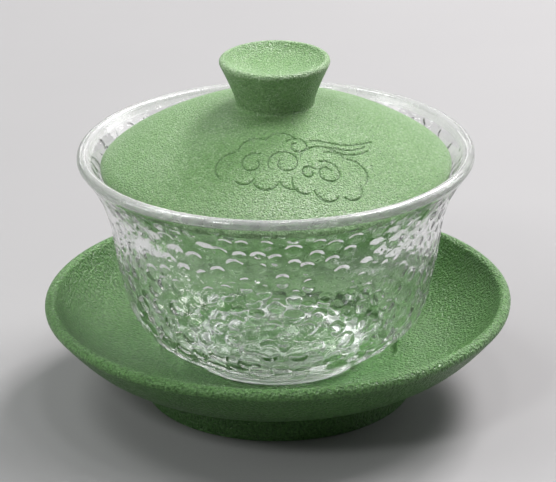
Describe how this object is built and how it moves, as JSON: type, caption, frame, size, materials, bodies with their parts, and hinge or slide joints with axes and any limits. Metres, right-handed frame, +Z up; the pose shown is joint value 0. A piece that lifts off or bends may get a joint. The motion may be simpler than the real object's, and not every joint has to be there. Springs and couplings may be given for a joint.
{
  "type": "gaiwan",
  "caption": "Lidded tea bowl of clear hammered glass with a flared lip, a domed matte ceramic lid with a knob, and a wide footed ceramic saucer.",
  "frame": {"origin": "on the turning axis, in the plane that the saucer's foot rests on", "axes": "+Z up along the turning axis, from the saucer's foot to the lid's knob; -Y is the front, the side that the lid's decoration faces"},
  "size_m": [0.119, 0.119, 0.0892],
  "materials": {
    "saucer_ceramic": "matte, sandy grain",
    "bowl_glass": "clear, hammered outside",
    "lid_ceramic": "matte, sandy grain"
  },
  "bodies": {
    "saucer": {"saucer": "saucer_ceramic"},
    "bowl": {"bowl": "bowl_glass"},
    "lid": {"lid": "lid_ceramic"}
  },
  "joints": [
    {"name": "bowl_lift", "type": "slide", "parent": "saucer", "child": "bowl", "axis": [0, 0, 1], "range_m": [0, 0.08]},
    {"name": "lid_lift", "type": "slide", "parent": "bowl", "child": "lid", "axis": [0, 0, 1], "range_m": [0, 0.08]}
  ]
}
